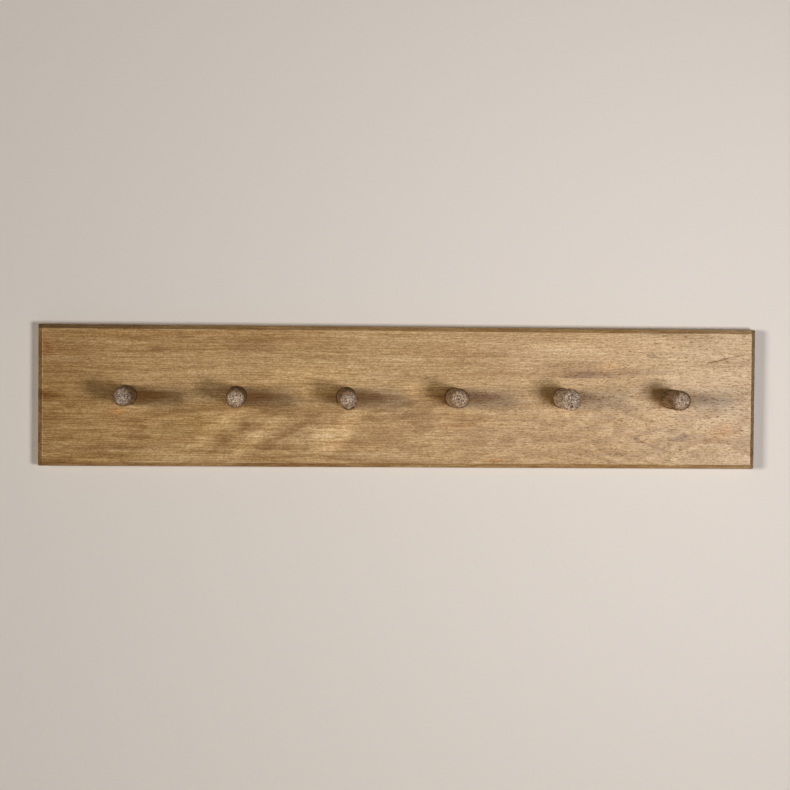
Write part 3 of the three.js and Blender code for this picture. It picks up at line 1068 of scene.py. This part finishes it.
bare_back = oak.between(y, -0.6 * MM, -0.2 * MM)
below_face = oak.between(y, FACE_Y + 0.3 * MM, FACE_Y + 0.7 * MM)
in_hole = oak.sum("MULTIPLY", below_face, oak.between(to_edge, 5 * MM, 6 * MM))
bare = oak.sum("MAXIMUM", bare_back, in_hole)
raw = tint(oak, (0.52, 0.41, 0.28, 1), oak.between(fibre, 0.45, 0.70), (0.78, 0.73, 0.66))
raw = tint(oak, raw, scaled(oak, pore, 0.7), (0.62, 0.54, 0.46))
color = oak.mix(bare, color, raw)

shine = oak.sum("MULTIPLY_ADD", fibre, 0.16, 0.36)
shine = oak.sum("MULTIPLY_ADD", pore, 0.16, shine)
shine = oak.sum("MULTIPLY_ADD", bare, 0.30, shine)
height = oak.sum("MULTIPLY_ADD", pore, -0.55, scaled(oak, fibre, 0.55))
height = oak.sum("MULTIPLY_ADD", fine, 0.35, height)
height = oak.sum("MULTIPLY_ADD", check, -1.0, height)
board.data.materials.append(oak.finish(color, shine, height, 0.18 * MM))
put_in_frame(board, "board_oak", "back_board")
print("oak nodes:", len(oak.tree.nodes))

# %% [markdown]
# ## Weathered oak for the pegs
#
# The pegs look older than the board. On the tip the wood is cut across, so it shows ring arcs, rays and a
# crowd of open pores that have gone grey. The rounded shoulder and the shank show the fibres side-on and
# are stained dark brown. Each peg gets its own mix, centred on its own axis, so that its rings sit where
# its tip is.

# %% Stain the pegs


def dark_to_pale(recipe, amount, color, dark, pale):
    """Swings a colour between a darker and a paler strength of itself."""
    return recipe.mix(amount, [dark * c for c in color], [pale * c for c in color])


def peg_finish(name, number, heart_mm, pith_mm, face, side, ring_strength):
    tail, tip, _ = PEG_AXES[name]
    wood = Recipe(name + "_oak")
    place = wood.place(shift=-tip)
    _, y, z = wood.split(place)
    other = wood.vector("ADD", place, (0.37 * number, 0.21 * number, 0.11 * number))
    blotch = wood.noise(other, 260, 2)
    grit = wood.noise(other, 640, 3, 0.7)
    dots = wood.between(wood.cells(other, 760), 0.42, 0.20)

    # The end grain: rings round a heart that lies off to one side, crossed by pores and pale grit.
    heart = wood.vector("ADD", place, (-heart_mm[0] * MM, 0, -heart_mm[1] * MM))
    heart_distance = wood.vector("LENGTH", wood.vector("MULTIPLY", heart, (1, 0, 1)))
    heart_distance = wood.sum("MULTIPLY_ADD", blotch, 0.0012, heart_distance)
    rings = wood.sum("SINE", wood.sum("MULTIPLY", heart_distance, math.tau / (1.9 * MM)))
    rings = wood.between(rings, -0.2, 0.9)
    end_color = dark_to_pale(wood, wood.between(grit, 0.36, 0.66), face, 0.36, 1.62)
    end_color = tint(wood, end_color, scaled(wood, rings, ring_strength), (0.62, 0.54, 0.46))
    end_color = tint(wood, end_color, scaled(wood, dots, 0.85), (0.38, 0.31, 0.25))
    pith = wood.between(heart_distance, (pith_mm + 1.4) * MM, (pith_mm + 0.4) * MM)
    end_color = tint(wood, end_color, pith, (0.30, 0.24, 0.18))

    # The side grain: streaks along the peg, and the fine ridges that the lathe left round it.
    streak = wood.noise(wood.vector("MULTIPLY", other, (420, 45, 420)), 1.0, 3, 0.6)
    ridge = wood.noise(wood.vector("MULTIPLY", other, (30, 330, 30)), 1.0, 2)
    open_grain = scaled(wood, wood.between(grit, 0.52, 0.70), 0.8)
    # The lower side of each peg's shank is paled as painted light from below.
    painted_light_below = wood.between(z, 1 * MM, -7 * MM)
    side_color = dark_to_pale(wood, wood.between(streak, 0.35, 0.65), side, 0.60, 1.45)
    side_color = tint(wood, side_color, wood.between(ridge, 0.50, 0.66), (0.66, 0.60, 0.54))
    side_color = tint(wood, side_color, open_grain, (0.60, 0.52, 0.45))
    side_color = tint(wood, side_color, painted_light_below, (1.30, 1.33, 1.38))

    # The stain is darker just behind the tip. At the foot, where the peg meets the board, the wood is
    # darkened as painted shade.
    edge = wood.sum("MULTIPLY_ADD", wood.sum("SUBTRACT", blotch, 0.5), 0.003, y)
    on_tip = wood.between(edge, 3.0 * MM, 1.0 * MM)
    color = wood.mix(on_tip, side_color, end_color)
    past_tip = wood.between(edge, 1.2 * MM, 2.6 * MM)
    shoulder = wood.sum("MULTIPLY", past_tip, wood.between(edge, 9 * MM, 4 * MM))
    color = tint(wood, color, scaled(wood, shoulder, 0.45), (0.62, 0.54, 0.46))
    length = (tip - tail).length
    shade_at_foot = wood.between(y, length - 15 * MM, length - 11 * MM)
    color = tint(wood, color, shade_at_foot, (0.75, 0.70, 0.65))

    height = wood.sum("MULTIPLY_ADD", dots, -0.6, scaled(wood, grit, 0.8))
    height = wood.sum("MULTIPLY_ADD", streak, 0.5, height)
    height = wood.sum("MULTIPLY_ADD", ridge, 0.4, height)
    roughness = wood.sum("MULTIPLY_ADD", grit, 0.2, 0.58)
    return wood.finish(color, roughness, height, 0.45 * MM)


GREY_TIP = (0.46, 0.355, 0.275)
BROWN_SIDE = (0.25, 0.155, 0.080)
# Where each peg's heart lies, how big the dark pith there is, the colours of its tip and its side, and how
# clearly its rings show. The fifth peg's pith is the dark wood round its bite.
PEG_LOOKS = [
    ((4.5, -9.0), 0.8, (0.41, 0.315, 0.25), BROWN_SIDE, 0.25),
    ((-2.0, 1.0), 0.0, (0.53, 0.415, 0.32), BROWN_SIDE, 0.55),
    ((1.0, -0.5), 0.2, GREY_TIP, (0.30, 0.19, 0.10), 0.60),
    ((3.5, -1.5), 0.2, (0.46, 0.345, 0.255), (0.37, 0.25, 0.145), 0.80),
    ((-0.9, -6.6), 1.2, (0.42, 0.325, 0.25), (0.50, 0.38, 0.27), 0.35),
    ((0.3, 1.0), 0.5, (0.45, 0.345, 0.27), (0.28, 0.175, 0.09), 0.50),
]
for number, (name, look) in enumerate(zip(PEG_NAMES, PEG_LOOKS), start=1):
    pegs[name].data.materials.append(peg_finish(name, number, *look))
    put_in_frame(pegs[name], "peg_wood", name)
print("peg materials:", [peg.data.materials[0].name for peg in pegs.values()])

# %% [markdown]
# ## Plated steel for the hidden parts
#
# The plates are bright zinc on rolled sheet, so their shine is drawn out in fine lines along the sheet.
# The screws are plated in bulk and come out a pale yellow, a little cloudy, with some grey left by the
# driver.

# %% Plate the metal


def plated(name, bright, dull, stretch, roughness):
    metal = Recipe(name)
    cloud = metal.noise(metal.place(), 210, 3)
    lines = metal.noise(metal.place(stretch=stretch), 1.0, 2, 0.6)
    color = metal.mix(metal.between(cloud, 0.35, 0.65), dull, bright)
    color = tint(metal, color, metal.between(lines, 0.55, 0.75), (0.80, 0.80, 0.80))
    speck = metal.between(metal.cells(metal.place(), 900), 0.20, 0.08)
    color = tint(metal, color, scaled(metal, speck, 0.5), (0.60, 0.58, 0.54))
    shine = metal.sum("MULTIPLY_ADD", lines, 0.22, roughness)
    return metal.finish(color, shine, lines, 0.02 * MM, metallic=1.0)


zinc = plated("zinc_plate", (0.72, 0.73, 0.74), (0.58, 0.59, 0.60), (1500, 1500, 40), 0.24)
yellow = plated("yellow_zinc", (0.74, 0.68, 0.50), (0.62, 0.56, 0.42), (600, 600, 600), 0.22)
for name, plate in plates.items():
    plate.data.materials.append(zinc)
    put_in_frame(plate, "plate_steel", name)
for name, screw in {**hanger_screws, **peg_screws}.items():
    screw.data.materials.append(yellow)
    put_in_frame(screw, "screw_steel", name)
print("metal pieces:", len(plates) + len(hanger_screws) + len(peg_screws))
